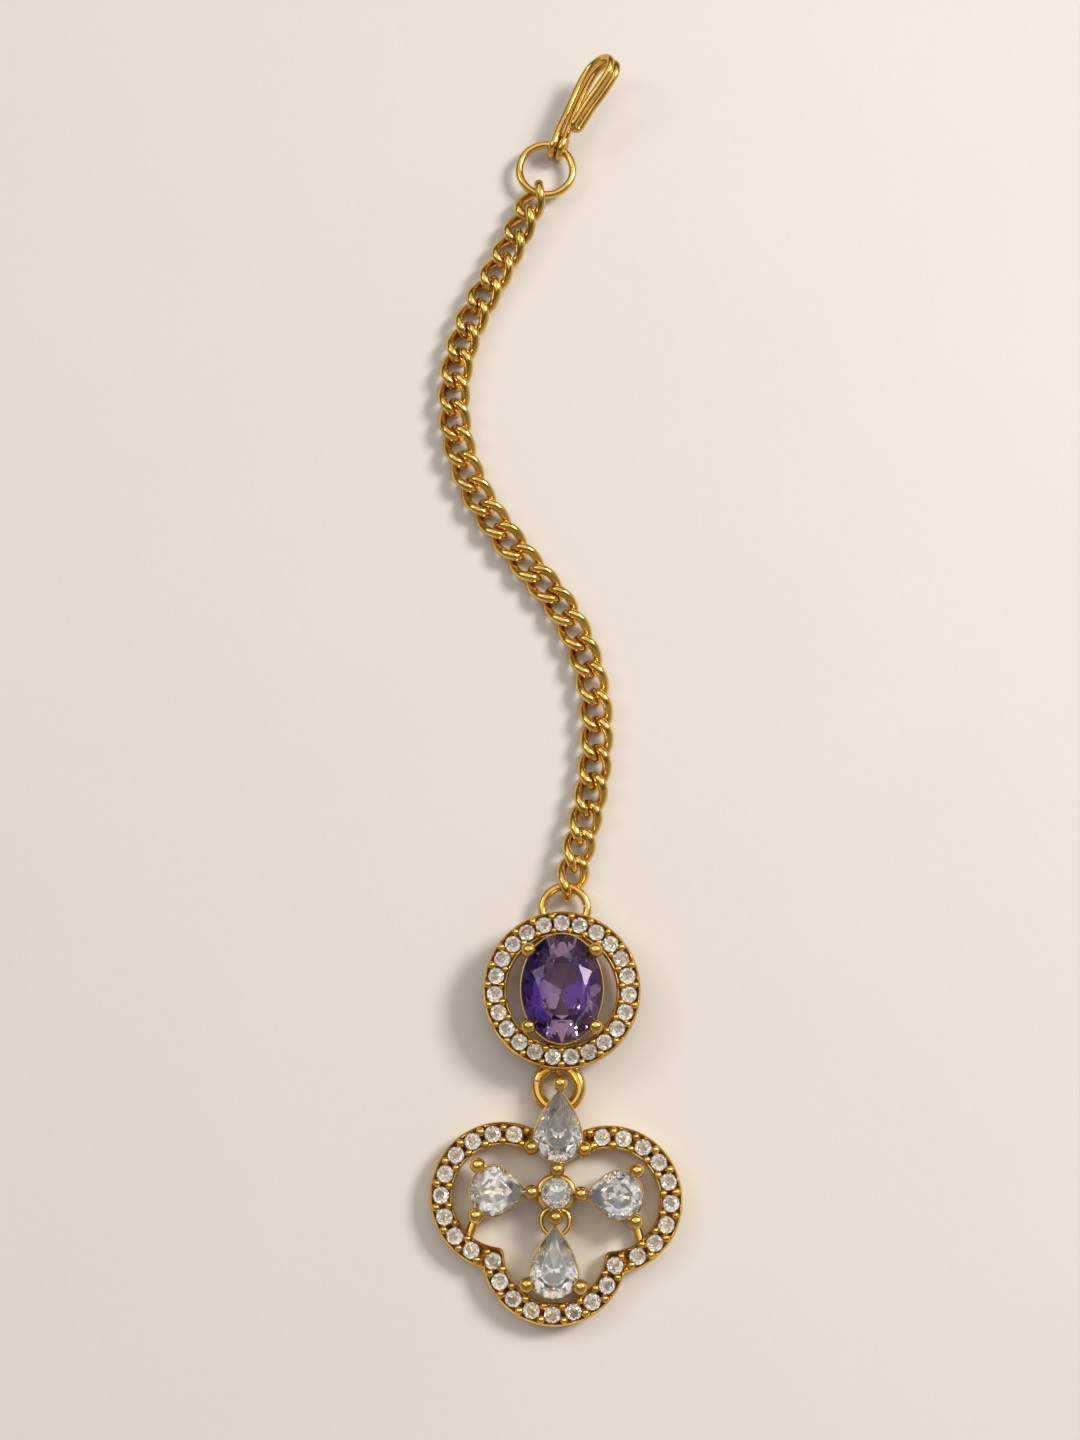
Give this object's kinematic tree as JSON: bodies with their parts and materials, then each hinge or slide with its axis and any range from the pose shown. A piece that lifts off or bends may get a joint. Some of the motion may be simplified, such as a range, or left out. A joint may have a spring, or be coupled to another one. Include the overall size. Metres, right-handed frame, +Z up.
{
  "type": "maang tikka",
  "caption": "Head jewel laid flat: hair hook, ring, curb chain, round pave halo with an oval violet stone, and a clover drop with pear stones.",
  "frame": {"origin": "centre of the bounding box's underside, on the plane that the jewel lies on", "axes": "+Y from the clover drop to the hair hook, +Z up from the table through the stones, +X to the right when the stones face up and the hook is at the far end"},
  "size_m": [0.0182, 0.0976, 0.0049],
  "materials": {
    "gold_plate": "polished gold plate over brass",
    "pave_gold": "polished gold plate set with small clear stones",
    "violet_stone": "faceted and polished",
    "clear_stone": "faceted and polished"
  },
  "bodies": {
    "root": {"hair_hook": "gold_plate", "hook_ring": "gold_plate", "link_01": "gold_plate", "link_02": "gold_plate", "link_03": "gold_plate", "link_04": "gold_plate", "link_05": "gold_plate", "link_06": "gold_plate", "link_07": "gold_plate", "link_08": "gold_plate", "link_09": "gold_plate", "link_10": "gold_plate", "link_11": "gold_plate", "link_12": "gold_plate", "link_13": "gold_plate", "link_14": "gold_plate", "link_15": "gold_plate", "link_16": "gold_plate", "link_17": "gold_plate", "link_18": "gold_plate", "link_19": "gold_plate", "link_20": "gold_plate", "link_21": "gold_plate", "link_22": "gold_plate", "link_23": "gold_plate", "link_24": "gold_plate", "link_25": "gold_plate", "link_26": "gold_plate", "link_27": "gold_plate", "link_28": "gold_plate", "halo_jump_ring": "gold_plate", "halo_setting": "pave_gold", "oval_stone": "violet_stone", "connector_ring": "gold_plate", "clover_setting": "pave_gold", "pear_top": "clear_stone", "pear_left": "clear_stone", "pear_right": "clear_stone", "pear_bottom": "clear_stone", "round_stone": "clear_stone"}
  },
  "joints": []
}
